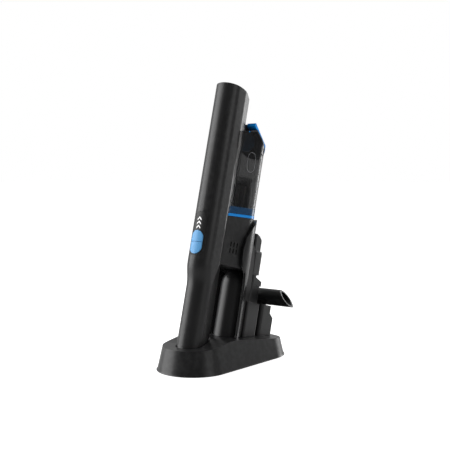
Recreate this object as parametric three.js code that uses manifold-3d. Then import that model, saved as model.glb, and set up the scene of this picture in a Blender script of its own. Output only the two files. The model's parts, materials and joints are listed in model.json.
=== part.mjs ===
// Slim cordless hand vacuum standing in its charging stand, with a crevice tool and an upholstery nozzle.
// Millimetres, +Z up, -Y is the switch side, X = 0 is the plane of symmetry.
import * as THREE from 'three';
import { ConvexGeometry } from 'three/addons/geometries/ConvexGeometry.js';
import { mergeVertices } from 'three/addons/utils/BufferGeometryUtils.js';
import Module from 'manifold-3d';

const wasm = await Module();
wasm.setup();

// ---------------------------------------------------------------- driving dimensions
const GAP = 0.3; // clearance between touching pieces
const WALL = 2.4; // casing wall
const LEAN = THREE.MathUtils.degToRad(14.65); // the docked vacuum leans back by this
const DOCK = new THREE.Vector3(0, -87.12, 14.04); // middle of the handle's lower end, on the tube's axis

const TUBE_RADIUS = 21; // round front of the body
const BODY_LENGTH = 420; // lower end of the handle to the mouth
const HANDLE_RADIUS = 20;
const HANDLE_SETBACK = 4.8; // the handle's front stands this far behind the tube's
const WAIST = 112; // the handle's full narrowness
const SHOULDER = 146; // the tube's full width
const GRIP_TOP = 150; // top of the rear grip
const SEAM_Y = 5; // split line between the front casing and the rear grip
const DUCT_FLOOR = 326; // bottom of the air duct inside the tube

const FAN_Y = 66; // axis of motor, fan, filter and bin
const BIN_RADIUS = 27;
const MOTOR_BOTTOM = 150;
const RING_Z = 231; // underside of the seal ring
const RING_SLOPE = 0.13; // the ring and the joints beside it rise to the rear
const RING_PIVOT_Y = 75; // where they have their nominal height
const BAND_Z = 235.3; // underside of the bin's lower band
const BIN_Z = 246.3; // underside of the clear bin
const BIN_WALL = 1.8;
const CHEEK_BOTTOM = 284; // the bin's flat cheeks start here and widen upwards
const CHEEK_TOP = 362;
const ROOF_FRONT = [12, 352.9]; // the bin's roof climbs from here
const RIDGE = [51.6, 366.8]; // to here, and then falls to the rear
const ROOF_REAR = [100, 328.1];
const LID_THICKNESS = 3;
const INLET_Z = 343; // middle of the opening from duct to bin
const INLET_HEIGHT = 15;
const INLET_WIDTH = 22;
const HINGE_Y = 35.6;
const HINGE_Z = 359.4;
const PIVOT_Y = 47.6; // the latch lever turns about this line
const PIVOT_Z = 372;

const PANEL_WIDTH = 25;
const PANEL_BOTTOM = 155;
const PANEL_TOP = 221;
const BUTTON_WIDTH = 20.4;
const BUTTON_BOTTOM = 157.4;
const BUTTON_SPLIT = 175.4;
const BUTTON_TOP = 192.4;

const CELL_RADIUS = 9.2;
const CELL_LENGTH = 65;

const BASE_FRONT_Y = -67.2; // centre of the base's front end
const BASE_FRONT_RADIUS = 56;
const BASE_REAR_Y = 63.2;
const BASE_REAR_RADIUS = 60;
const BASE_DRAFT = 9.5; // the base's side leans in by this at the top
const BASE_BOTTOM = 1; // the base clears the floor on its feet
const LOBE_Z = 36; // flat top around the handle
const PEAK_Z = 43.2;
const TAIL_Z = 24;

const CRADLE_GAP = 1.6; // between motor housing and cradle
const CRADLE_WALL = 4;
const CRADLE_TIP = 232;
const COLUMN_RADIUS = 20.5;
const COLUMN_Y = 87;
const COLUMN_TOP = 149;
const WALL_HALF_WIDTH = 20.5;
const WALL_REAR = 104;

const CREVICE_TOP = 214;
const CREVICE_FLOOR = 56;
const CONNECTOR_FRONT = 104.8;
const CONNECTOR_REAR = 129.5;
const POCKET_TOP = 104.5;
const NOZZLE_FLOOR = 61;
const NOZZLE_Y = 150;
const NOZZLE_HEAD_Z = 119.2;
const NOZZLE_TIP = 72; // reach of its slanted mouth
const MOUTH_SLANT = 0.79; // radians from upright
const SLOT_LENGTH = 30; // lint slot behind the nozzle's head
const SLOT_X = 27;

// ---------------------------------------------------------------- materials
const finish = (color, roughness, metalness = 0, extra = {}) =>
  new THREE.MeshStandardMaterial({ color, roughness, metalness, ...extra });
const BLACK = () => finish(0x2b2b2c, 0.48);
const DARK = () => finish(0x1c1c1d, 0.6);
const GLOSS = () => finish(0x202021, 0.25);
const PALE_BLUE = () => finish(0x79aee6, 0.4);
const BLUE = () => finish(0x1a9cf5, 0.35);
const SMOKE = () => finish(0x2c3033, 0.12, 0, { transparent: true, opacity: 0.4 });
const BLUE_CLEAR = () => finish(0x1f4f86, 0.2, 0, { transparent: true, opacity: 0.6 });
const WHITE = () => finish(0xf2f2f2, 0.5);
const RUBBER = () => finish(0x151515, 0.85);
const STEEL = () => finish(0xb9bcc0, 0.3, 1);
const BRASS = () => finish(0xc9a25a, 0.3, 1);
const BOARD = () => finish(0x1f5b35, 0.6);
const CELL = () => finish(0x3b7f8c, 0.5);
const FILTER = () => finish(0xe8e6df, 0.95);
const BRISTLE = () => finish(0x101010, 0.9);

// ---------------------------------------------------------------- geometry helpers
// A solid from a closed three.js geometry.
function solid(geometry) {
  const bare = geometry.index ? geometry.toNonIndexed() : geometry.clone();
  bare.deleteAttribute('normal');
  bare.deleteAttribute('uv');
  const merged = mergeVertices(bare, 1e-4);
  const vertProperties = new Float32Array(merged.attributes.position.array);
  const triVerts = new Uint32Array(merged.index.array);
  return new wasm.Manifold(new wasm.Mesh({ numProp: 3, vertProperties, triVerts }));
}

function geometryOf(body) {
  const { vertProperties, triVerts } = body.getMesh();
  const geometry = new THREE.BufferGeometry();
  geometry.setAttribute('position', new THREE.BufferAttribute(new Float32Array(vertProperties), 3));
  geometry.setIndex(new THREE.BufferAttribute(new Uint32Array(triVerts), 1));
  const faceted = geometry.toNonIndexed();
  faceted.computeVertexNormals();
  return faceted;
}

const minus = (body, ...cutters) => cutters.reduce((left, cutter) => left.subtract(cutter), body);
const plus = (...bodies) => bodies.reduce((sum, next) => sum.add(next));

// Both mirror images of a circle [x, y, radius].
const pair = (x, y, radius) => [[x, y, radius], [-x, y, radius]];
const grow = (circles, by) => circles.map(([x, y, radius]) => [x, y, Math.max(0.2, radius + by)]);

// The tight band around a set of circles, as a closed outline.
function outlineAround(circles, segments = 40) {
  const points = [];
  for (const [x, y, radius] of circles) {
    for (let i = 0; i < segments; i += 1) {
      const angle = (i / segments) * 2 * Math.PI;
      points.push(new THREE.Vector2(x + radius * Math.cos(angle), y + radius * Math.sin(angle)));
    }
  }
  points.sort((a, b) => a.x - b.x || a.y - b.y);
  const turn = (o, a, b) => (a.x - o.x) * (b.y - o.y) - (a.y - o.y) * (b.x - o.x);
  const half = (list) => {
    const chain = [];
    for (const point of list) {
      while (chain.length > 1 && turn(chain[chain.length - 2], chain[chain.length - 1], point) < 1e-4) {
        chain.pop();
      }
      chain.push(point);
    }
    chain.pop();
    return chain;
  };
  return [...half(points), ...half([...points].reverse())];
}

// An upright prism around circles, with its levels at the given heights.
function tower(circles, levels, segments = 40) {
  const shape = new THREE.Shape(outlineAround(circles, segments));
  const steps = levels.length - 1;
  const geometry = new THREE.ExtrudeGeometry(shape, { depth: steps, steps, bevelEnabled: false });
  const position = geometry.attributes.position;
  for (let i = 0; i < position.count; i += 1) {
    position.setZ(i, levels[Math.round(position.getZ(i))]);
  }
  return geometry;
}

const prism = (circles, bottom, top, segments = 40) => solid(tower(circles, [bottom, top], segments));

// Moves every vertex of a geometry by a rule.
function reshape(geometry, rule) {
  const position = geometry.attributes.position;
  const point = new THREE.Vector3();
  for (let i = 0; i < position.count; i += 1) {
    point.fromBufferAttribute(position, i);
    rule(point);
    position.setXYZ(i, point.x, point.y, point.z);
  }
  return geometry;
}

function box(x, y, z, [cx, cy, cz]) {
  return solid(new THREE.BoxGeometry(x, y, z).translate(cx, cy, cz));
}

// A solid of revolution about a line parallel to Z through (x, y); the profile is [radius, z] points.
function turned(profile, x, y, segments = 40) {
  const points = profile.map(([radius, z]) => new THREE.Vector2(radius, z));
  const geometry = new THREE.LatheGeometry(points, segments);
  return solid(geometry.rotateX(Math.PI / 2).translate(x, y, 0));
}

const disc = (radius, bottom, top, x, y, segments = 40) =>
  turned([[0, bottom], [radius, bottom], [radius, top], [0, top]], x, y, segments);

// A side profile of [y, z] points, carried across the width.
function profileGeometry(points, halfWidth) {
  const shape = new THREE.Shape(points.map(([y, z]) => new THREE.Vector2(y, z)));
  const geometry = new THREE.ExtrudeGeometry(shape, { depth: 2 * halfWidth, bevelEnabled: false });
  return geometry.translate(0, 0, -halfWidth).rotateY(Math.PI / 2).rotateX(Math.PI / 2);
}

const across = (points, halfWidth) => solid(profileGeometry(points, halfWidth));

// The smallest convex solid around some corners.
const hullOf = (corners) => solid(new ConvexGeometry(corners.map((corner) => new THREE.Vector3(...corner))));

// A front outline in X and Z, carried along Y.
function through(outline, front, rear) {
  const shape = new THREE.Shape(outline);
  const geometry = new THREE.ExtrudeGeometry(shape, { depth: rear - front, bevelEnabled: false });
  return solid(geometry.rotateX(Math.PI / 2).translate(0, rear, 0));
}

const stadium = (width, bottom, top) =>
  outlineAround([[0, bottom + width / 2, width / 2], [0, top - width / 2, width / 2]], 32);

const leaning = new THREE.Matrix4().makeRotationX(-LEAN).setPosition(DOCK);
const upright = leaning.clone().invert();

const model = new THREE.Group();
const vacuumFrame = new THREE.Group();
vacuumFrame.position.copy(DOCK);
vacuumFrame.rotation.x = -LEAN;
model.add(vacuumFrame);

function add(frame, name, body, material) {
  const mesh = new THREE.Mesh(geometryOf(body), material);
  mesh.name = name;
  frame.add(mesh);
}

// ---------------------------------------------------------------- vacuum: casing
const TUBE_SECTION = [[0, 0, TUBE_RADIUS], ...pair(TUBE_RADIUS - 4.2, 14.4, 4.2), ...pair(13.4, 27, 4.6)];

// Narrows the tube's section to the handle's, below the shoulder.
function waisted(point) {
  const rise = THREE.MathUtils.smoothstep(point.z, WAIST, SHOULDER);
  const narrow = 1 - (1 - HANDLE_RADIUS / TUBE_RADIUS) * (1 - rise);
  const frontness = THREE.MathUtils.clamp(1 - point.y / 26, 0, 1);
  point.x *= narrow;
  point.y = point.y * narrow + HANDLE_SETBACK * (1 - rise) * frontness;
}

function bodyTower(inset, bottom, top) {
  const bends = [0, 7, 13, 18, 23, 28, 34].map((step) => WAIST + step);
  const levels = [bottom, ...bends.filter((z) => z > bottom && z < top), top];
  return solid(reshape(tower(grow(TUBE_SECTION, -inset), levels, 40), waisted));
}

// The seam runs straight up the handle, then sweeps back to the motor housing.
const SEAM = [[SEAM_Y, 0], [SEAM_Y, 92], [7, 113], [11, 131], [14.6, 142], [18.6, GRIP_TOP - GAP]];

function bodyShell() {
  const outer = bodyTower(0, 4, BODY_LENGTH + 4);
  const mouth = across([[-40, 421.5], [8, 418], [19, 415.5], [40, 402], [40, 440], [-40, 440]], 40);
  const duct = bodyTower(WALL, DUCT_FLOOR, BODY_LENGTH + 10);
  const electronics = bodyTower(WALL, 3, DUCT_FLOOR - 4);
  const rear = across([...SEAM, [60, GRIP_TOP - GAP], [60, 0]], 40);
  const inlet = box(INLET_WIDTH, 20, INLET_HEIGHT, [0, 30, INLET_Z]);
  const panel = panelBlank(GAP / 2, TUBE_RADIUS - 1.8, TUBE_RADIUS + 2);
  const buttons = through(stadium(BUTTON_WIDTH + 0.6, BUTTON_BOTTOM - 0.3, BUTTON_TOP + 0.3), -30, 0);
  const lights = [1, 2, 3].map((index) => through(chevron(index, 0.5), -30, 0));
  return minus(outer, mouth, duct, electronics, rear, inlet, panel, buttons, ...lights);
}

// A shell around the tube's round front between two radii.
const frontShell = (inner, outer) => minus(disc(outer, 148, 230, 0, 0, 72), disc(inner, 147, 231, 0, 0, 72));

// A shell sector trimmed to the panel's outline.
function panelBlank(extra, inner, outer) {
  const outline = stadium(PANEL_WIDTH + 2 * extra, PANEL_BOTTOM - extra, PANEL_TOP + extra);
  return frontShell(inner, outer).intersect(through(outline, -30, -2));
}

// Arrow outline of one charge light; they point up the tube.
function chevron(index, extra) {
  const z = 192.9 + 6.2 * index;
  const half = 3.6 + extra;
  const arm = 1.1 + extra * 0.6;
  const above = [[-half, z - 2.2], [0, z + 1.4 + extra], [half, z - 2.2]];
  const below = [[half, z - 2.2 - 2 * arm], [0, z + 1.4 - 2 * arm], [-half, z - 2.2 - 2 * arm]];
  return [...above, ...below].reverse().map(([x, height]) => new THREE.Vector2(x, height));
}

function switchPanel() {
  const blank = panelBlank(-GAP / 2, TUBE_RADIUS - 1.5, TUBE_RADIUS - 0.1);
  const buttons = through(stadium(BUTTON_WIDTH + 0.6, BUTTON_BOTTOM - 0.3, BUTTON_TOP + 0.3), -30, 0);
  const lights = [1, 2, 3].map((index) => through(chevron(index, 0.2), -30, 0));
  return minus(blank, buttons, ...lights);
}

function button(bottom, top) {
  const outline = stadium(BUTTON_WIDTH, BUTTON_BOTTOM, BUTTON_TOP);
  const cap = frontShell(TUBE_RADIUS - 4, TUBE_RADIUS + 0.9).intersect(through(outline, -30, -2));
  const half = box(40, 40, top - bottom, [0, -15, (bottom + top) / 2]);
  const middle = (Math.max(bottom, BUTTON_BOTTOM) + Math.min(top, BUTTON_TOP)) / 2;
  const stem = box(5, 7.6, 5, [0, -13.9, middle]);
  return plus(cap.intersect(half), stem);
}

function chargeLight(index) {
  const outer = disc(TUBE_RADIUS - 0.05, 190, 220, 0, 0, 96);
  const ring = minus(outer, disc(TUBE_RADIUS - 2.6, 189, 221, 0, 0, 96));
  return ring.intersect(through(chevron(index, 0), -30, 0));
}

const GRIP_SECTION = [...pair(14.6, SEAM_Y + GAP + 3.5, 3.5), [0, 25.4, 12.6]];
const GRIP_HOLLOW = [...pair(12.2, SEAM_Y, 3), [0, 25.4, 10.2]];

function rearGrip() {
  const outer = prism(GRIP_SECTION, 8, GRIP_TOP - 2 * GAP);
  const inner = prism(GRIP_HOLLOW, 7, GRIP_TOP - WALL);
  const ahead = across([...SEAM.map(([y, z]) => [y + GAP, z]), [19, 160], [-30, 160], [-30, 0]], 40);
  return minus(outer, inner, ahead);
}

function handleEndCap() {
  const outer = prism([[0, 4.8, 16.8], [0, 26, 11.4]], 0.6, 3.7);
  const slots = [-6, 6].map((x) => box(5, 9, 10, [x, 12, 2]));
  return minus(outer, ...slots);
}

function batteryCell(column, row) {
  const bottom = 13 + row * (CELL_LENGTH + 3);
  return disc(CELL_RADIUS, bottom, bottom + CELL_LENGTH, 0, 4 + column * (2 * CELL_RADIUS + 1), 28);
}

const circuitBoard = () => box(24, 1.6, 70, [0, -4, 190]);

const microSwitch = (z) => box(6, 3.4, 6, [0, -4.8 - GAP - 1.7, z]);

function mouthRim() {
  const outer = bodyTower(WALL + GAP, 386, 412.5);
  const inner = bodyTower(WALL + 1.7, 380, 420);
  return minus(outer, inner, across([[22, 420], [22, 412], [40, 398], [40, 420]], 40));
}

// ---------------------------------------------------------------- vacuum: motor
const REAR_SECTION = [[0, FAN_Y, BIN_RADIUS], ...pair(18, 20.9, 3)];

// A block behind the tube, wrapped round its rear corners. The inset moves its outer face inwards, the
// clearance keeps it off the tube, and the slopes tilt its lower and upper end.
function rearBlock(inset, bottom, top, clearance = inset + GAP, slopes = [0, 0]) {
  const straight = tower(grow(REAR_SECTION, -inset), [bottom, top], 64);
  const tilted = reshape(straight, (point) => {
    const slope = point.z < (bottom + top) / 2 ? slopes[0] : slopes[1];
    point.z += slope * (point.y - RING_PIVOT_Y);
  });
  return minus(solid(tilted), prism(grow(TUBE_SECTION, clearance), bottom - 9, top + 9, 40));
}

function motorHousing() {
  const hollow = rearBlock(WALL, MOTOR_BOTTOM + 3, RING_Z + 8);
  const flare = [[0, 140], [BIN_RADIUS - 2.2, MOTOR_BOTTOM - 0.1], [BIN_RADIUS, 155], [60, 156], [0, 156]];
  const rim = minus(disc(60, MOTOR_BOTTOM - 1, MOTOR_BOTTOM + 5, 0, FAN_Y), turned(flare, 0, FAN_Y, 64));
  const ledge = rim.intersect(box(100, 60, 20, [0, FAN_Y + 25, MOTOR_BOTTOM]));
  const slots = [];
  for (const side of [-1, 1]) {
    for (const z of [173.5, 183.3]) {
      for (const y of [33.6, 40.2, 46.8]) {
        slots.push(box(12, 2.2, 7.4, [side * 24, y, z]));
      }
    }
  }
  const outer = rearBlock(0, MOTOR_BOTTOM, RING_Z - GAP, GAP, [0, RING_SLOPE]);
  return minus(outer, hollow, ledge, ...slots);
}

const motor = () => turned([[0, 156], [15, 156], [16.5, 158], [16.5, 196], [12, 198], [0, 198]], 0, FAN_Y);

function impeller() {
  const hub = turned([[0, 199], [19.5, 199], [19.5, 200.5], [5, 203], [4, 213], [0, 213]], 0, FAN_Y);
  const blades = [];
  for (let i = 0; i < 9; i += 1) {
    const blade = new THREE.BoxGeometry(15, 1.2, 10).translate(11, 0, 205.4).rotateZ((i / 9) * 2 * Math.PI);
    blades.push(solid(blade.translate(0, FAN_Y, 0)));
  }
  return plus(hub, ...blades);
}

function fanGuard() {
  const plate = rearBlock(WALL + GAP, 217, 220);
  const holes = [];
  for (const [count, radius] of [[1, 0], [6, 7.5], [10, 14.5]]) {
    for (let i = 0; i < count; i += 1) {
      const angle = (i / count) * 2 * Math.PI;
      holes.push(disc(2.4, 215, 222, radius * Math.cos(angle), FAN_Y + radius * Math.sin(angle), 8));
    }
  }
  return minus(plate, ...holes);
}

function sealRing() {
  const outer = rearBlock(-0.4, RING_Z, BAND_Z - GAP, GAP, [RING_SLOPE, RING_SLOPE]);
  return minus(outer, rearBlock(2.8, RING_Z - 9, BAND_Z + 9));
}

// ---------------------------------------------------------------- dust bin
function binBand() {
  const outer = rearBlock(0, BAND_Z, BIN_Z - GAP, GAP, [RING_SLOPE, RING_SLOPE]);
  return minus(outer, rearBlock(2.2, BAND_Z - 9, BIN_Z + 9));
}

// Everything below the roof line, which is lowered by one amount ahead of a place and by another behind it.
function underRoof(ahead, place, behind) {
  const slope = (RIDGE[1] - ROOF_FRONT[1]) / (RIDGE[0] - ROOF_FRONT[0]);
  const height = RIDGE[1] - slope * (RIDGE[0] - place);
  const front = [[0, 200], [0, ROOF_FRONT[1] - slope * ROOF_FRONT[0] - ahead], [place, height - ahead]];
  const ridge = [[place + 0.01, height - behind], [RIDGE[0], RIDGE[1] - behind]];
  const rear = [[ROOF_REAR[0], ROOF_REAR[1] - behind], [ROOF_REAR[0], 200]];
  return across([...front, ...ridge, ...rear], 60);
}

// Flat wedge on one side that grows out of the bin's front corner towards the roof.
function cheek(side) {
  const low = [[20.9, 17.6], [20.9, 21], [14, 21], [14, 17.6]];
  const high = [[22.4, 13.4], [23, 31.5], [14, 31.5], [14, 13.4]];
  const lowCorners = low.map(([x, y]) => [side * x, y, CHEEK_BOTTOM]);
  const highCorners = high.map(([x, y]) => [side * x, y, CHEEK_TOP]);
  const bulk = hullOf([...lowCorners, ...highCorners]);
  return minus(bulk, prism(grow(TUBE_SECTION, GAP), 200, 400, 40));
}

const HINGE_ROOM = 21.8; // half width of the lid between the hinge ears
const EAR_END = HINGE_Y + 2.4;
const LUG_HALF_WIDTH = 9;
const LATCH_HALF_WIDTH = 24.6;

function binBlock() {
  return plus(rearBlock(0, BIN_Z, 372, GAP, [RING_SLOPE, 0]), cheek(-1), cheek(1));
}

function dustBin() {
  const outer = binBlock().intersect(underRoof(0, EAR_END, LID_THICKNESS + GAP));
  const hollow = rearBlock(BIN_WALL, BIN_Z - 9, 372).intersect(underRoof(6, EAR_END, -20));
  const hatch = box(2 * HINGE_ROOM, 5.2, 30, [0, 36, 364]);
  const inlet = box(INLET_WIDTH - 1, 12, INLET_HEIGHT - 1, [0, 33, INLET_Z]);
  return minus(outer, hollow, hatch, inlet, rod(1.3, 47, HINGE_Y, HINGE_Z));
}

function binLid() {
  const block = binBlock().intersect(underRoof(0, EAR_END, 0));
  const above = minus(block, underRoof(LID_THICKNESS, EAR_END, LID_THICKNESS));
  const ahead = box(100, 60, 60, [0, HINGE_Y - 1.4 - 30, 365]);
  const ear = (side) => box(20, 10, 60, [side * (HINGE_ROOM - GAP + 10), EAR_END - 3.9, 365]);
  const ears = [ear(-1), ear(1)];
  const lugSide = [[42.2, 362], [42.2, 373.4], [50.6, 375.6], [53, 373.4], [53, 362.6], [RIDGE[0], 364.6]];
  const lug = across(lugSide, LUG_HALF_WIDTH);
  const barrel = rod(2.2, 30, HINGE_Y, HINGE_Z);
  const bores = [rod(1.3, 60, HINGE_Y, HINGE_Z), rod(1.5, 30, PIVOT_Y, PIVOT_Z)];
  return minus(plus(minus(above, ahead, ...ears), lug, barrel), ...bores);
}

// A round bar across the width.
function rod(radius, length, y, z) {
  const geometry = new THREE.CylinderGeometry(radius, radius, length, 20).rotateZ(Math.PI / 2);
  return solid(geometry.translate(0, y, z));
}

const hingePin = () => rod(1, 46, HINGE_Y, HINGE_Z);

// Blue lever over the lid's rear slope; its two arms straddle the lid's lug.
function lidLatch() {
  const top = [[44.6, 371.4], [44.6, 375.4], [46.2, 376.2], [96, 336.4]];
  const underside = [[96, 331.7], [51.8, 367], [49, 368.4]];
  const slab = across([...top, ...underside], LATCH_HALF_WIDTH);
  const plate = slab.intersect(prism(grow(REAR_SECTION, 0.9), 320, 380, 64));
  const between = box(2 * (LUG_HALF_WIDTH + GAP), 32, 40, [0, 40, 372]);
  return plus(minus(plate, between), rod(1.2, 24, PIVOT_Y, PIVOT_Z));
}

const BOWL_Y = 58;

// Clear bowl under the lid that turns the incoming air.
function airBowl() {
  const outside = [[0, 334.6], [6.8, 336], [11.3, 339.2], [14, 343.8], [15, 349], [15, 374]];
  const inside = [[13.4, 374], [13.4, 349.2], [12.6, 344.6], [10.2, 340.6], [6.2, 337.8], [0, 336.4]];
  const bowl = turned([...outside, ...inside], 0, BOWL_Y, 40);
  return bowl.intersect(underRoof(LID_THICKNESS + GAP, EAR_END, LID_THICKNESS + GAP));
}

const inletFlap = () => plus(
  box(INLET_WIDTH - 3, 1, INLET_HEIGHT - 3, [0, 35.2, INLET_Z]),
  rod(1.1, INLET_WIDTH - 3, 35.4, INLET_Z + INLET_HEIGHT / 2 - 1.6),
);

// ---------------------------------------------------------------- filter
function filterCup() {
  const flange = [[0, BAND_Z + 2], [12, BAND_Z + 2], [12, BAND_Z], [23, BAND_Z], [23, BAND_Z + 2.4]];
  const side = [[16.6, BAND_Z + 2.4], [14.4, 288], [16.2, 290], [16.2, 292.4], [0, 292.4]];
  const hollow = [[0, BAND_Z - 1], [12.6, BAND_Z - 1], [12.6, 286], [0, 289]];
  const windows = [];
  for (let i = 0; i < 8; i += 1) {
    const angle = ((i + 0.5) / 8) * 2 * Math.PI;
    const hole = new THREE.BoxGeometry(16, 5, 34).translate(14, 0, 262).rotateZ(angle);
    windows.push(solid(hole.translate(0, FAN_Y, 0)));
  }
  return minus(turned([...flange, ...side], 0, FAN_Y, 32), turned(hollow, 0, FAN_Y, 32), ...windows);
}

function filterElement() {
  const corners = [];
  const pleats = 24;
  for (let i = 0; i < 2 * pleats; i += 1) {
    const angle = (i / pleats) * Math.PI;
    const radius = i % 2 ? 12.2 : 9.6;
    const point = new THREE.Vector2(radius * Math.cos(angle), radius * Math.sin(angle));
    corners.push(point);
  }
  const geometry = new THREE.ExtrudeGeometry(new THREE.Shape(corners), { depth: 46, bevelEnabled: false });
  const pleated = solid(geometry.translate(0, FAN_Y, BAND_Z + 3));
  return minus(pleated, disc(8, BAND_Z, 278, 0, FAN_Y, 24));
}

function filterGasket() {
  const outer = disc(22.6, RING_Z + 0.6, BAND_Z - GAP, 0, FAN_Y, 40);
  return minus(outer, disc(18, RING_Z - 1, BAND_Z + 4, 0, FAN_Y, 40));
}

// ---------------------------------------------------------------- stand
const baseOutline = (inset) => [
  [0, BASE_FRONT_Y, BASE_FRONT_RADIUS - inset],
  [0, BASE_REAR_Y, BASE_REAR_RADIUS - inset],
];

// Height of the base's top along its length: a flat lobe, an S-shaped rise and a long fall.
function baseTop(y) {
  const rise = THREE.MathUtils.smoothstep(y, -94, -22);
  const fall = Math.max(0, y + 38) / 160;
  const crest = LOBE_Z + (PEAK_Z - LOBE_Z) * rise;
  return crest - (PEAK_Z - TAIL_Z) * fall;
}

// Everything above (or, closed downwards, below) the base's top surface.
function topLine(shift, floor) {
  const points = [];
  for (let y = -140; y <= 140; y += y > -100 && y < -20 ? 5 : 20) {
    points.push([y, baseTop(y) + shift]);
  }
  return [...points, [140, floor], [-140, floor]];
}

const aboveBase = (shift) => solid(profileGeometry(topLine(shift, 400), 160));
const belowBaseLeaning = () => solid(profileGeometry(topLine(GAP, -200), 160).applyMatrix4(upright));

// A drafted block over the base's outline; its side leans in as it rises.
function draftedBlock(inset, bottom, top) {
  const geometry = tower(baseOutline(inset), [bottom, bottom + 2.2, top], 56);
  return solid(reshape(geometry, (point) => {
    const lean = point.z <= bottom + 0.1 ? 0 : 1.2 + (BASE_DRAFT * (point.z - bottom)) / 42;
    const end = THREE.MathUtils.clamp(point.y, BASE_FRONT_Y, BASE_REAR_Y);
    const out = new THREE.Vector2(point.x, point.y - end).setLength(lean);
    point.x -= out.x;
    point.y -= out.y;
  }));
}

const socketSection = (extra) => [[0, 4.8, HANDLE_RADIUS + extra], [0, 26.6, 13.6 + extra]];

function leaningSolid(geometry) {
  return solid(geometry.applyMatrix4(leaning));
}

function baseShell() {
  const block = minus(draftedBlock(0, BASE_BOTTOM, 50), aboveBase(0));
  const hollow = minus(draftedBlock(3, BASE_BOTTOM - 3, 50), aboveBase(-3));
  const plateRoom = box(200, 300, 20, [0, 0, BASE_BOTTOM + 2 + GAP - 10]);
  const cup = minus(leaningSolid(tower(socketSection(4), [-7, 60])).intersect(block), plateRoom);
  const shell = plus(minus(block, hollow), cup);
  const socket = leaningSolid(tower(socketSection(1.4), [-0.2, 60]));
  const pins = [-6, 6].map((x) => leaningSolid(pinWell(x, 1.9)));
  const jack = box(12, 20, 9, [0, BASE_REAR_Y + BASE_REAR_RADIUS - 4, 11]);
  return minus(shell, socket, ...pins, jack);
}

function pinWell(x, radius) {
  const geometry = new THREE.CylinderGeometry(radius, radius, 30, 16);
  return geometry.rotateX(Math.PI / 2).translate(x, 12, -10);
}

function basePlate() {
  const plate = prism(baseOutline(6.4), BASE_BOTTOM, BASE_BOTTOM + 2, 48);
  const holes = screwPlaces().map(([x, y]) => disc(1.9, 0, 6, x, y, 14));
  const pins = [-6, 6].map((x) => leaningSolid(pinWell(x, 2.1)));
  return minus(plate, ...holes, ...pins);
}

const screwPlaces = () => [[-32, -88], [32, -88], [-40, 74], [40, 74]];
const footPlaces = () => [[0, 0], [-30, -66], [30, -66], [-36, 52], [36, 52]];

const FOOT_TOP = BASE_BOTTOM - GAP;
const foot = ([x, y]) => turned([[0, 0], [6.5, 0], [7, 0.4], [7, FOOT_TOP], [0, FOOT_TOP]], x, y, 24);
const screw = ([x, y]) => disc(1.5, 1.2, 12, x, y, 14);

function column() {
  const dome = 22;
  const levels = [-40, ...[0, 7, 12, 16, 19, dome].map((step) => COLUMN_TOP - dome + step)];
  const rounded = reshape(tower([[0, COLUMN_Y, COLUMN_RADIUS]], levels), (point) => {
    const rise = Math.max(0, point.z - COLUMN_TOP + dome) / dome;
    const shrink = Math.sqrt(1 - 0.8 * rise * rise);
    point.x *= shrink;
    point.y = COLUMN_Y + (point.y - COLUMN_Y) * shrink;
  });
  const shell = prism(grow(REAR_SECTION, CRADLE_GAP - GAP), -60, 200, 64);
  return minus(solid(rounded).intersect(shell), belowBaseLeaning());
}

// Half pipe behind the motor housing; its front edge sweeps up and back to a tip.
function cradleShell() {
  const outer = prism(grow(REAR_SECTION, CRADLE_GAP + CRADLE_WALL), -60, CRADLE_TIP, 72);
  const inner = prism(grow(REAR_SECTION, CRADLE_GAP), -70, CRADLE_TIP + 10, 72);
  const lowerEdge = [[72, -80], [72, 60], [71, 96], [70.6, 124], [68.6, 143], [64, 149.6], [58.6, 155]];
  const upperEdge = [[56, 166], [55.6, 179], [59, 198], [69.4, 213.8], [80, 226], [100, 240]];
  const front = across([[-20, -80], ...lowerEdge, ...upperEdge, [-20, 240]], 80);
  return minus(outer, inner, front, belowBaseLeaning());
}

function backWall() {
  const crown = [[84, 190], [86.4, 194], [90, 195], [95.3, 193], [99.1, 187], [101.6, 165]];
  const slab = across([[84, -60], ...crown, [WALL_REAR, 136], [WALL_REAR, -60]], WALL_HALF_WIDTH);
  const cradle = prism(grow(REAR_SECTION, CRADLE_GAP + CRADLE_WALL + GAP), -70, CRADLE_TIP + 10, 72);
  return minus(slab, cradle, belowBaseLeaning());
}

// Holster behind the wall for the crevice tool.
function crevicePocket() {
  const outer = prism([...pair(20, 101, 4), ...pair(18, 126.5, 6)], -60, POCKET_TOP);
  const inner = prism([...pair(17.2, 100, 3.6), ...pair(17.2, 126.4, 3.6)], CREVICE_FLOOR, POCKET_TOP + 5);
  const wall = box(2 * (WALL_HALF_WIDTH + GAP), 60, 400, [0, WALL_REAR + GAP - 30, 60]);
  return minus(outer, inner, wall, belowBaseLeaning());
}

// Holster for the nozzle, with a stepped back.
function nozzlePocket() {
  const front = NOZZLE_Y - 11.5;
  const outer = prism([...pair(17, front + 6, 6), ...pair(20, 162, 3)], -60, POCKET_TOP + 1);
  const step = prism([...pair(20, 158, 3), ...pair(20, 171.4, 3)], -60, 97);
  const slope = across([[150, 103], [162, 94], [180, 81.4], [180, 120], [150, 120]], 40);
  const room = [...pair(17, NOZZLE_Y - 4.4, 4.4), ...pair(17, NOZZLE_Y + 4.4, 4.4)];
  const inner = prism(room, NOZZLE_FLOOR, POCKET_TOP + 5);
  return minus(plus(outer, minus(step, slope)), inner, belowBaseLeaning());
}

const chargingPin = (x) => turned([[0, -7], [1.5, -7], [1.5, -0.8], [1.1, -0.3], [0, -0.3]], x, 12, 14);
const contactPlate = (x) => box(4.4, 8.4, 1.2, [x, 12, 1.2]);

function powerInlet() {
  const rearEnd = BASE_REAR_Y + BASE_REAR_RADIUS;
  const body = box(11.2, 12, 8.2, [0, rearEnd - 10.4, 11]);
  const bore = new THREE.CylinderGeometry(2.8, 2.8, 20, 20).translate(0, rearEnd - 1, 11);
  return minus(body, solid(bore));
}

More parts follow.
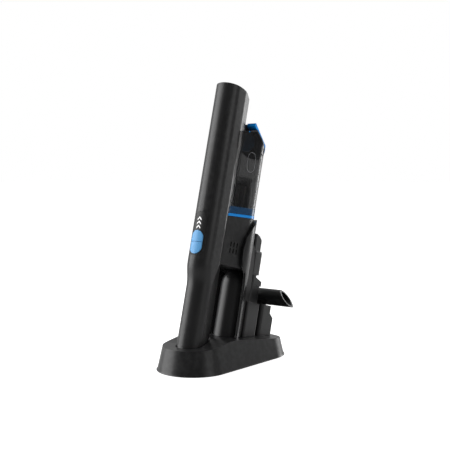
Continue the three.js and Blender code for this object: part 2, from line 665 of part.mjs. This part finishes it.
// ---------------------------------------------------------------- tools
const BLADE_SECTION = [...pair(11, 109.4, 3), ...pair(11, 122, 3)];
const CONNECTOR_SECTION = [...pair(16, CONNECTOR_FRONT + 4, 4), ...pair(16, CONNECTOR_REAR - 4, 4)];

function creviceTool() {
  const tip = [[104, 213.9], [110, 213], [116.6, 210.4], [121.4, 206.6], [125, 201.6], [132, 190]];
  const nose = across([[90, 230], [90, 212.6], ...tip, [140, 230]], 60);
  const shoulder = across([[90, 170], [90, 152.6], [140, 135.8], [140, 170]], 60);
  const innerShoulder = across([[90, 170], [90, 148.6], [140, 131.8], [140, 170]], 60);
  const blade = prism(BLADE_SECTION, 130, CREVICE_TOP);
  const connector = prism(CONNECTOR_SECTION, CREVICE_FLOOR + GAP, 152);
  const flange = prism([...pair(16.6, CONNECTOR_FRONT + 4, 4), ...pair(17, 128, 4)], 132, 152);
  const outer = plus(minus(blade, nose), minus(plus(connector, flange), shoulder));
  const bladeInside = prism(grow(BLADE_SECTION, -2), 128, CREVICE_TOP + 5);
  const connectorInside = minus(prism(grow(CONNECTOR_SECTION, -2), 50, 150), innerShoulder);
  return minus(outer, bladeInside, connectorInside);
}

const SLEEVE_SECTION = [...pair(10.6, 110.6, 6), ...pair(12.6, 124, 4)];

const brushSleeve = () => minus(prism(SLEEVE_SECTION, 149, 184), prism(grow(BLADE_SECTION, 0.4), 140, 190));

const brushBristles = () => minus(
  prism(grow(SLEEVE_SECTION, -0.5), 184.3, 186.4),
  prism(grow(BLADE_SECTION, 0.6), 180, 200),
);

// Elbow: a neck in the holster, a closed round end above it and a slanted open mouth at the far end.
function upholsteryNozzle() {
  const along = (inset) => outlineAround([
    [NOZZLE_Y - 1, NOZZLE_HEAD_Z - 1.8, 11.2 - inset],
    [NOZZLE_Y + 1, NOZZLE_HEAD_Z + 1.8, 11.2 - inset],
  ], 32).map((point) => [point.x, point.y]);
  const plan = prism([[13.6, NOZZLE_Y, 12.2], [90, NOZZLE_Y, 12.2]], 90, 150, 48);
  const head = across(along(0), 90).intersect(plan);
  const channel = across(along(2.8), 90).intersect(box(90, 60, 60, [57, NOZZLE_Y, NOZZLE_HEAD_Z]));
  const neck = prism([[0, NOZZLE_Y, 8], [12, NOZZLE_Y, 8]], NOZZLE_FLOOR + GAP, NOZZLE_HEAD_Z);
  const neckInside = prism([[3, NOZZLE_Y, 5.8], [12, NOZZLE_Y, 5.8]], 50, NOZZLE_HEAD_Z - 6.4);
  const roofSide = [[-30, 140], [2.6, 140], [2.6, NOZZLE_HEAD_Z], [-30, 103]];
  const roofOutline = roofSide.map(([x, z]) => new THREE.Vector2(x, z));
  const roofCut = through(roofOutline, NOZZLE_Y - 20, NOZZLE_Y + 20);
  const wedge = new THREE.BoxGeometry(60, 80, 160).rotateY(-MOUTH_SLANT);
  const middle = NOZZLE_TIP - 13;
  const slant = solid(wedge.translate(middle + 30 / Math.cos(MOUTH_SLANT), NOZZLE_Y, NOZZLE_HEAD_Z));
  const slot = box(SLOT_LENGTH, 14, 7, [SLOT_X, NOZZLE_Y + 9, NOZZLE_HEAD_Z]);
  const grooves = [lintStrip(1, GAP), lintStrip(-1, GAP)];
  return minus(plus(head, minus(neck, roofCut)), channel, neckInside, slant, slot, ...grooves);
}

// Pile strip above (1) or below (-1) the nozzle's slot; extra widens it to the groove that holds it.
function lintStrip(side, extra) {
  const z = NOZZLE_HEAD_Z + 7 * side;
  const middle = [SLOT_X, NOZZLE_Y + 9.4 + side * 0.6, z];
  return box(SLOT_LENGTH + 2 * extra, 3.6 + 2 * extra, 3.4 + 2 * extra, middle);
}

// ---------------------------------------------------------------- assembly
function addVacuum() {
  add(vacuumFrame, 'body_shell', bodyShell(), BLACK());
  add(vacuumFrame, 'rear_grip', rearGrip(), DARK());
  add(vacuumFrame, 'handle_end_cap', handleEndCap(), DARK());
  add(vacuumFrame, 'switch_panel', switchPanel(), DARK());
  add(vacuumFrame, 'power_button', button(BUTTON_BOTTOM - 5, BUTTON_SPLIT - 0.3), PALE_BLUE());
  add(vacuumFrame, 'boost_button', button(BUTTON_SPLIT + 0.3, BUTTON_TOP + 5), PALE_BLUE());
  for (const index of [1, 2, 3]) {
    add(vacuumFrame, `charge_light_${index}`, chargeLight(index), WHITE());
  }
  add(vacuumFrame, 'circuit_board', circuitBoard(), BOARD());
  add(vacuumFrame, 'power_switch', microSwitch((BUTTON_BOTTOM + BUTTON_SPLIT) / 2), DARK());
  add(vacuumFrame, 'boost_switch', microSwitch((BUTTON_SPLIT + BUTTON_TOP) / 2), DARK());
  for (const cell of [0, 1, 2, 3]) {
    add(vacuumFrame, `battery_cell_${cell + 1}`, batteryCell(Math.floor(cell / 2), cell % 2), CELL());
  }
  add(vacuumFrame, 'contact_left', contactPlate(-6), BRASS());
  add(vacuumFrame, 'contact_right', contactPlate(6), BRASS());
  add(vacuumFrame, 'mouth_rim', mouthRim(), RUBBER());
  add(vacuumFrame, 'motor_housing', motorHousing(), BLACK());
  add(vacuumFrame, 'motor', motor(), STEEL());
  add(vacuumFrame, 'impeller', impeller(), STEEL());
  add(vacuumFrame, 'fan_guard', fanGuard(), DARK());
  add(vacuumFrame, 'seal_ring', sealRing(), BLUE());
}

function addBin() {
  add(vacuumFrame, 'bin_band', binBand(), BLUE_CLEAR());
  add(vacuumFrame, 'dust_bin', dustBin(), SMOKE());
  add(vacuumFrame, 'bin_lid', binLid(), DARK());
  add(vacuumFrame, 'lid_hinge_pin', hingePin(), BLUE());
  add(vacuumFrame, 'lid_latch', lidLatch(), BLUE());
  add(vacuumFrame, 'air_bowl', airBowl(), BLUE_CLEAR());
  add(vacuumFrame, 'inlet_flap', inletFlap(), BLUE_CLEAR());
  add(vacuumFrame, 'filter_cup', filterCup(), SMOKE());
  add(vacuumFrame, 'filter_element', filterElement(), FILTER());
  add(vacuumFrame, 'filter_gasket', filterGasket(), RUBBER());
}

function addStand() {
  add(model, 'base_shell', baseShell(), GLOSS());
  add(model, 'base_plate', basePlate(), DARK());
  footPlaces().forEach((place, i) => add(model, `foot_${i + 1}`, foot(place), RUBBER()));
  screwPlaces().forEach((place, i) => add(model, `base_screw_${i + 1}`, screw(place), STEEL()));
  add(model, 'power_inlet', powerInlet(), DARK());
  add(vacuumFrame, 'column', column(), BLACK());
  add(vacuumFrame, 'cradle_shell', cradleShell(), GLOSS());
  add(vacuumFrame, 'back_wall', backWall(), BLACK());
  add(vacuumFrame, 'crevice_pocket', crevicePocket(), BLACK());
  add(vacuumFrame, 'nozzle_pocket', nozzlePocket(), BLACK());
  add(vacuumFrame, 'charging_pin_left', chargingPin(-6), BRASS());
  add(vacuumFrame, 'charging_pin_right', chargingPin(6), BRASS());
}

function addTools() {
  add(vacuumFrame, 'crevice_tool', creviceTool(), BLACK());
  add(vacuumFrame, 'brush_sleeve', brushSleeve(), BLACK());
  add(vacuumFrame, 'brush_bristles', brushBristles(), BRISTLE());
  add(vacuumFrame, 'upholstery_nozzle', upholsteryNozzle(), BLACK());
  add(vacuumFrame, 'lint_strip_upper', lintStrip(1, 0), RUBBER());
  add(vacuumFrame, 'lint_strip_lower', lintStrip(-1, 0), RUBBER());
}

addVacuum();
addBin();
addStand();
addTools();

export default model;
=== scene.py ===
"""Looks for the slim hand vacuum in its charging stand: shells, procedural plastics and light."""
import json
import math

import bmesh
import bpy
from mathutils import Matrix, Vector


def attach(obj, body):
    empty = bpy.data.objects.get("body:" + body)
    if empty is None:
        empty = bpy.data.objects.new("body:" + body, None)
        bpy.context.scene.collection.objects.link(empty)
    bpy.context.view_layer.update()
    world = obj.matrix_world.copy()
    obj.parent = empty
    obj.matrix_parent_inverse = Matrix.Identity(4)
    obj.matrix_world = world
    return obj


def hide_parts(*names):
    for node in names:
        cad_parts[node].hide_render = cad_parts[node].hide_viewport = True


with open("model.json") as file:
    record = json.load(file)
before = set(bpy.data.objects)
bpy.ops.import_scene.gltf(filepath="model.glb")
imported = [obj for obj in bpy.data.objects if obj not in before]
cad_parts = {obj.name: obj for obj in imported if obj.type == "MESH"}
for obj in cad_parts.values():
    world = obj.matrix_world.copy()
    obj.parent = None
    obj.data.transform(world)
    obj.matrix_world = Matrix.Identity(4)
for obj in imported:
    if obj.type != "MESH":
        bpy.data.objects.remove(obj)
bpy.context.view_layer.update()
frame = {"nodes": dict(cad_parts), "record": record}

# ------------------------------------------------------------------ camera
CAMERA_AZIMUTH = math.radians(38.3)
CAMERA_ELEVATION = math.radians(3.94)
CAMERA_DISTANCE = 1.2
LOOK_AT = Vector((0.0, 0.006, 0.1998))
LENS = 60.8


def toward(azimuth, elevation):
    """Unit vector from the object to a viewer at this azimuth and elevation."""
    flat = math.cos(elevation)
    return Vector((math.sin(azimuth) * flat, -math.cos(azimuth) * flat, math.sin(elevation)))


def add_camera():
    data = bpy.data.cameras.new("camera")
    data.lens = LENS
    data.sensor_width = 36.0
    data.clip_start = 0.05
    data.clip_end = 50.0
    camera = bpy.data.objects.new("camera", data)
    back = toward(CAMERA_AZIMUTH, CAMERA_ELEVATION)
    camera.location = LOOK_AT + back * CAMERA_DISTANCE
    camera.rotation_mode = "QUATERNION"
    camera.rotation_quaternion = (-back).to_track_quat("-Z", "Y")
    bpy.context.scene.collection.objects.link(camera)
    bpy.context.scene.camera = camera


# ------------------------------------------------------------------ studio
def add_area(name, azimuth, elevation, distance, width, height, watts):
    data = bpy.data.lights.new(name, "AREA")
    data.shape = "RECTANGLE"
    data.size = width
    data.size_y = height
    data.energy = watts
    light = bpy.data.objects.new(name, data)
    out = toward(math.radians(azimuth), math.radians(elevation))
    light.location = LOOK_AT + out * distance
    light.rotation_mode = "QUATERNION"
    light.rotation_quaternion = out.to_track_quat("Z", "Y")
    bpy.context.scene.collection.objects.link(light)
    return light


def add_world():
    """White to the eye, and a dim room round the object that is lighter behind it."""
    world = bpy.data.worlds.new("studio")
    world.use_nodes = True
    bpy.context.scene.world = world
    tree = world.node_tree
    tree.nodes.clear()
    place = tree.nodes.new("ShaderNodeTexCoord")
    dot = tree.nodes.new("ShaderNodeVectorMath")
    dot.operation = "DOT_PRODUCT"
    dot.inputs[1].default_value = -toward(CAMERA_AZIMUTH, 0.0)
    ramp = tree.nodes.new("ShaderNodeMapRange")
    ramp.interpolation_type = "SMOOTHSTEP"
    ramp.inputs["From Min"].default_value = -0.4
    ramp.inputs["From Max"].default_value = 0.9
    ramp.inputs["To Min"].default_value = 0.1
    ramp.inputs["To Max"].default_value = 0.5
    path = tree.nodes.new("ShaderNodeLightPath")
    strength = tree.nodes.new("ShaderNodeMath")
    strength.operation = "MAXIMUM"
    surround = tree.nodes.new("ShaderNodeBackground")
    surround.inputs["Color"].default_value = (1, 1, 1, 1)
    out = tree.nodes.new("ShaderNodeOutputWorld")
    tree.links.new(place.outputs["Generated"], dot.inputs[0])
    tree.links.new(dot.outputs["Value"], ramp.inputs["Value"])
    tree.links.new(ramp.outputs["Result"], strength.inputs[0])
    tree.links.new(path.outputs["Is Camera Ray"], strength.inputs[1])
    tree.links.new(strength.outputs["Value"], surround.inputs["Strength"])
    tree.links.new(surround.outputs["Background"], out.inputs["Surface"])


def add_floor():
    mesh = bpy.data.meshes.new("floor")
    half = 40.0
    corners = [(-half, -half, 0), (half, -half, 0), (half, half, 0), (-half, half, 0)]
    mesh.from_pydata(corners, [], [(0, 1, 2, 3)])
    floor = bpy.data.objects.new("floor", mesh)
    bpy.context.scene.collection.objects.link(floor)
    material = bpy.data.materials.new("pale_floor")
    material.use_nodes = True
    shader = material.node_tree.nodes["Principled BSDF"]
    shader.inputs["Base Color"].default_value = (0.6, 0.6, 0.6, 1)
    shader.inputs["Roughness"].default_value = 1.0
    shader.inputs["Specular IOR Level"].default_value = 0.0
    shader.inputs["Emission Color"].default_value = (1, 1, 1, 1)
    seen = material.node_tree.nodes.new("ShaderNodeLightPath")
    # The floor glows to the eye only, so that it doesn't light the stand's sides from below.
    glow = material.node_tree.nodes.new("ShaderNodeMapRange")
    glow.inputs["To Min"].default_value = 0.15
    glow.inputs["To Max"].default_value = 0.9
    material.node_tree.links.new(seen.outputs["Is Camera Ray"], glow.inputs["Value"])
    material.node_tree.links.new(glow.outputs["Result"], shader.inputs["Emission Strength"])
    mesh.materials.append(material)


# ------------------------------------------------------------------ materials
class Look:
    """A Principled material with a small set of procedural layers, in metres over the object."""

    def __init__(self, name, color, roughness, metallic=0.0):
        self.material = bpy.data.materials.new(name)
        self.material.use_nodes = True
        self.tree = self.material.node_tree
        self.shader = self.tree.nodes["Principled BSDF"]
        self.shader.inputs["Base Color"].default_value = (*color, 1)
        self.shader.inputs["Roughness"].default_value = roughness
        self.shader.inputs["Metallic"].default_value = metallic
        self.color = color
        self.roughness = roughness
        self.place = self.tree.nodes.new("ShaderNodeTexCoord").outputs["Object"]
        self.normal = None

    def set(self, **values):
        for name, value in values.items():
            self.shader.inputs[name.replace("_", " ")].default_value = value
        return self

    def stretched(self, scale):
        node = self.tree.nodes.new("ShaderNodeMapping")
        node.inputs["Scale"].default_value = scale
        self.tree.links.new(self.place, node.inputs["Vector"])
        return node.outputs["Vector"]

    def noise(self, scale, detail=3.0, stretch=None):
        node = self.tree.nodes.new("ShaderNodeTexNoise")
        node.inputs["Scale"].default_value = scale
        node.inputs["Detail"].default_value = detail
        source = self.stretched(stretch) if stretch else self.place
        self.tree.links.new(source, node.inputs["Vector"])
        return node.outputs["Fac"]

    def cells(self, scale):
        node = self.tree.nodes.new("ShaderNodeTexVoronoi")
        node.inputs["Scale"].default_value = scale
        self.tree.links.new(self.place, node.inputs["Vector"])
        return node.outputs["Distance"]

    def ranged(self, value, low, high, start=0.3, end=0.7):
        node = self.tree.nodes.new("ShaderNodeMapRange")
        node.inputs["From Min"].default_value = start
        node.inputs["From Max"].default_value = end
        node.inputs["To Min"].default_value = low
        node.inputs["To Max"].default_value = high
        self.tree.links.new(value, node.inputs["Value"])
        return node.outputs["Result"]

    def edges(self):
        """1 on worn convex edges, 0 on flats and in hollows."""
        node = self.tree.nodes.new("ShaderNodeNewGeometry")
        return self.ranged(node.outputs["Pointiness"], 0.0, 1.0, 0.53, 0.62)

    def tinted(self, amount, scale, worn=0.0):
        """Colour drifts with large patches and lightens where edges are rubbed."""
        mix = self.tree.nodes.new("ShaderNodeMix")
        mix.data_type = "RGBA"
        mix.inputs["A"].default_value = (*[c * (1 - amount) for c in self.color], 1)
        mix.inputs["B"].default_value = (*[c * (1 + amount) for c in self.color], 1)
        self.tree.links.new(self.ranged(self.noise(scale), 0, 1), mix.inputs["Factor"])
        color = mix.outputs["Result"]
        if worn:
            rub = self.tree.nodes.new("ShaderNodeMix")
            rub.data_type = "RGBA"
            rub.inputs["B"].default_value = (*[min(1.0, c * 1.5 + worn) for c in self.color], 1)
            patch = self.tree.nodes.new("ShaderNodeMath")
            patch.operation = "MULTIPLY"
            self.tree.links.new(self.edges(), patch.inputs[0])
            self.tree.links.new(self.ranged(self.noise(140.0), 0, 0.8, 0.4, 0.65), patch.inputs[1])
            self.tree.links.new(patch.outputs["Value"], rub.inputs["Factor"])
            self.tree.links.new(color, rub.inputs["A"])
            color = rub.outputs["Result"]
        self.tree.links.new(color, self.shader.inputs["Base Color"])
        return self

    def handled(self, spread, scale=35.0):
        """Roughness drifts where hands have polished or smeared the surface."""
        value = self.ranged(self.noise(scale, 4.0), self.roughness - spread, self.roughness + spread)
        self.tree.links.new(value, self.shader.inputs["Roughness"])
        return self

    def bump(self, height, strength, depth):
        node = self.tree.nodes.new("ShaderNodeBump")
        node.inputs["Strength"].default_value = strength
        node.inputs["Distance"].default_value = depth
        self.tree.links.new(height, node.inputs["Height"])
        if self.normal:
            self.tree.links.new(self.normal, node.inputs["Normal"])
        self.normal = node.outputs["Normal"]
        self.tree.links.new(self.normal, self.shader.inputs["Normal"])
        return self


def satin_plastic(name, color, roughness=0.42, grain=0.25):
    """Fine spark-eroded mould texture."""
    look = Look(name, color, roughness).tinted(0.06, 9.0, 0.01).handled(0.02, 20.0)
    return look.bump(look.noise(3200.0, 2.0), grain, 0.00005).material


def gloss_plastic(name, color, roughness=0.2):
    look = Look(name, color, roughness).tinted(0.05, 8.0, 0.008).handled(0.015, 20.0)
    return look.bump(look.noise(1600.0, 2.0), 0.05, 0.00003).material


def clear_plastic(name, color, roughness, opacity):
    """Tinted see-through plastic with a faint moulding drift and fine scuffs."""
    look = Look(name, color, roughness).tinted(0.05, 12.0).handled(0.02, 40.0)
    look.set(Alpha=opacity, IOR=1.49)
    return look.bump(look.noise(700.0, 2.0), 0.04, 0.00003).material


def rubber(name, color):
    look = Look(name, color, 0.75).tinted(0.15, 60.0, 0.03).handled(0.08)
    return look.bump(look.noise(1500.0, 3.0), 0.35, 0.0001).material


def brushed_metal(name, color, roughness=0.3):
    look = Look(name, color, roughness, 1.0).tinted(0.06, 40.0)
    look.handled(0.08, 120.0)
    return look.bump(look.noise(600.0, 3.0, (1.0, 1.0, 0.06)), 0.2, 0.00005).material


def lint_pile(name, color):
    look = Look(name, color, 0.9).tinted(0.3, 900.0)
    look.set(Sheen_Weight=0.4, Sheen_Roughness=0.5)
    return look.bump(look.cells(1600.0), 0.8, 0.0004).material


def nylon_bristle(name, color):
    look = Look(name, color, 0.5).tinted(0.3, 500.0)
    return look.bump(look.noise(1400.0, 2.0, (1.0, 1.0, 0.03)), 0.9, 0.0006).material


def pleated_paper(name, color):
    look = Look(name, color, 0.95).tinted(0.06, 200.0)
    return look.bump(look.noise(2200.0, 4.0), 0.4, 0.0001).material


def board_laminate(name, color):
    look = Look(name, color, 0.35).tinted(0.2, 300.0)
    return look.bump(look.cells(250.0), 0.3, 0.0001).material


def light_window(name, color):
    look = Look(name, color, 0.35).tinted(0.03, 200.0)
    look.set(Emission_Color=(1, 1, 1, 1), Emission_Strength=0.35)
    return look.bump(look.noise(800.0), 0.1, 0.00005).material


def make_looks():
    return {
        "black_casing": satin_plastic("satin_black", (0.0085, 0.0085, 0.009), 0.36, 0.15),
        "dark_trim": satin_plastic("textured_dark", (0.007, 0.007, 0.0075), 0.45, 0.4),
        "gloss_black": gloss_plastic("semi_gloss_black", (0.0085, 0.0085, 0.009), 0.24),
        "pale_blue_button": satin_plastic("pale_blue", (0.13, 0.42, 0.8), 0.4),
        "blue_trim": gloss_plastic("bright_blue", (0.005, 0.32, 0.95), 0.25),
        "blue_clear": clear_plastic("clear_blue", (0.012, 0.07, 0.17), 0.2, 0.8),
        "smoked_clear": clear_plastic("smoked_clear", (0.012, 0.012, 0.013), 0.1, 0.56),
        "base_satin": satin_plastic("base_satin", (0.0075, 0.0075, 0.008), 0.33, 0.04),
        "panel_dark": satin_plastic("panel_dark", (0.003, 0.003, 0.0032), 0.5, 0.1),
        "bowl_blue": clear_plastic("bowl_blue", (0.03, 0.17, 0.34), 0.3, 0.85),
        # light grey colour of the bin's oval line: a painted highlight on the ridge, not the
        # plastic's own tone
        "oval_painted_highlight": clear_plastic("oval_painted_highlight", (0.35, 0.36, 0.38), 0.25, 0.6),
        "cup_clear": clear_plastic("cup_clear", (0.09, 0.09, 0.095), 0.2, 0.5),
        "white_light": light_window("light_window", (0.9, 0.9, 0.9)),
        "soft_rubber": rubber("soft_rubber", (0.015, 0.015, 0.015)),
        "lint_fabric": lint_pile("lint_pile", (0.03, 0.03, 0.035)),
        "bristle": nylon_bristle("nylon_bristle", (0.02, 0.02, 0.02)),
        "steel": brushed_metal("brushed_steel", (0.55, 0.56, 0.58)),
        "brass_contact": brushed_metal("contact_brass", (0.75, 0.55, 0.25), 0.22),
        "board_green": board_laminate("board_laminate", (0.03, 0.13, 0.05)),
        "cell_wrap": satin_plastic("cell_wrap", (0.05, 0.22, 0.28), 0.35),
        "filter_paper": pleated_paper("filter_paper", (0.8, 0.78, 0.72)),
    }


# ------------------------------------------------------------------ refined shells
LEAN = math.radians(14.65)  # the docked vacuum leans back by this
DOCK = Vector((0.0, -0.08712, 0.01404))  # lower end of the handle
FLANK_X = 0.0209  # half width of the bin where its flat flank starts
FLANK_Y = 0.0209
FLANK_FLARE = 0.1436  # the flank widens by this much for each metre to the rear
OVAL_Y = 0.049  # middle of the oval moulded on the flank
OVAL_Z = 0.314
OVAL_HALF_WIDTH = 0.0085
OVAL_HALF_HEIGHT = 0.0155
OVAL_SQUARENESS = 0.6  # 1 is an ellipse, less is squarer
OVAL_POINTS = 48
OVAL_THICKNESS = 0.0003


def leaned(x, y, z):
    """A point of the docked vacuum's own frame, in the scene."""
    return DOCK + Matrix.Rotation(-LEAN, 3, "X") @ Vector((x, y, z))


SLOT_OF = {part["node"]: part["material_slot"] for part in frame["record"]["subparts"]}
BODIES = frame["record"]["behaviour"]["bodies"]
BODY_OF = {node: body for body, nodes in BODIES.items() for node in nodes}


# Nodes whose look differs from the rest of their slot.
OWN_LOOK = {
    "filter_cup": "cup_clear",
    "base_shell": "base_satin",
    "switch_panel": "panel_dark",
    "air_bowl": "bowl_blue",
}


def finished(piece, node, looks):
    """Gives a piece the material of its node's slot, or the node's own look, and attaches it to the
    node's body.
    """
    piece.data.materials.clear()
    piece.data.materials.append(looks[OWN_LOOK.get(node, SLOT_OF[node])])
    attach(piece, BODY_OF[node])


def refine(node, looks, edge=0.0006, segments=3, sharp=32.0):
    """Copies a node's solid, merges its facets and rounds its sharp edges."""
    source = frame["nodes"][node].data
    mesh = bpy.data.meshes.new(f"{node}_fine")
    mesh.from_pydata(
        [vertex.co.copy() for vertex in source.vertices],
        [],
        [list(face.vertices) for face in source.polygons],
    )
    cleaned = bmesh.new()
    cleaned.from_mesh(mesh)
    bmesh.ops.remove_doubles(cleaned, verts=cleaned.verts, dist=2e-6)
    bmesh.ops.dissolve_limit(
        cleaned, angle_limit=math.radians(0.15), verts=cleaned.verts, edges=cleaned.edges
    )
    cleaned.to_mesh(mesh)
    cleaned.free()
    mesh.shade_smooth()
    piece = bpy.data.objects.new(f"{node}_fine", mesh)
    bpy.context.scene.collection.objects.link(piece)
    round_off = piece.modifiers.new("edges", "BEVEL")
    round_off.width = edge
    round_off.segments = segments
    round_off.limit_method = "ANGLE"
    round_off.angle_limit = math.radians(sharp)
    round_off.harden_normals = False
    round_off.miter_outer = "MITER_ARC"
    level = piece.modifiers.new("normals", "WEIGHTED_NORMAL")
    level.keep_sharp = True
    level.weight = 60
    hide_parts(node)
    finished(piece, node, looks)
    return piece


def bin_line(looks):
    """Raised oval outline moulded on both flanks of the bin, coloured light grey as a painted
    highlight along its ridge.
    """
    for side in (-1, 1):
        curve = bpy.data.curves.new(f"bin_oval_{side + 1}", "CURVE")
        curve.dimensions = "3D"
        curve.bevel_depth = OVAL_THICKNESS
        curve.bevel_resolution = 2
        spline = curve.splines.new("POLY")
        spline.points.add(OVAL_POINTS - 1)
        spline.use_cyclic_u = True
        for i in range(OVAL_POINTS):
            turn = 2 * math.pi * i / OVAL_POINTS
            rise = math.copysign(abs(math.sin(turn)) ** OVAL_SQUARENESS, math.sin(turn))
            height = OVAL_Z + OVAL_HALF_HEIGHT * rise
            y = OVAL_Y + OVAL_HALF_WIDTH * math.cos(turn)
            x = side * (FLANK_X + FLANK_FLARE * (y - FLANK_Y))
            spline.points[i].co = (*leaned(x, y, height), 1)
        piece = bpy.data.objects.new(f"bin_oval_{side + 1}", curve)
        bpy.context.scene.collection.objects.link(piece)
        curve.materials.append(looks["oval_painted_highlight"])
        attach(piece, "bin")


def dress_nodes(looks, refined):
    """Every CAD node gets its slot's material, and the seen ones become refined shells."""
    for node, part in frame["nodes"].items():
        part.data.materials.clear()
        part.data.materials.append(looks[SLOT_OF[node]])
    for node, edge in refined.items():
        refine(node, looks, edge)


REFINED = {
    "body_shell": 0.0008, "rear_grip": 0.0008, "switch_panel": 0.0003, "power_button": 0.0006,
    "boost_button": 0.0006, "motor_housing": 0.0008, "seal_ring": 0.0006, "bin_band": 0.0005,
    "dust_bin": 0.0005, "bin_lid": 0.0008, "lid_latch": 0.0006, "air_bowl": 0.0003,
    "base_shell": 0.002, "column": 0.001, "cradle_shell": 0.001, "back_wall": 0.0015,
    "crevice_pocket": 0.0009, "nozzle_pocket": 0.0009, "crevice_tool": 0.0009, "brush_sleeve": 0.0006,
    "upholstery_nozzle": 0.0008, "handle_end_cap": 0.0006, "filter_cup": 0.0004, "mouth_rim": 0.0004,
}

add_camera()
add_world()
add_floor()
add_area("key_left", -55, 22, 1.6, 1.5, 1.7, 27)
add_area("side_right", 90, 24, 1.7, 0.8, 1.4, 4)
add_area("rim_rear", 167, 18, 1.6, 0.45, 1.8, 14)
add_area("top", 20, 80, 1.6, 1.6, 1.6, 7)
bpy.context.scene.view_settings.view_transform = "Standard"

looks = make_looks()
dress_nodes(looks, REFINED)
bin_line(looks)
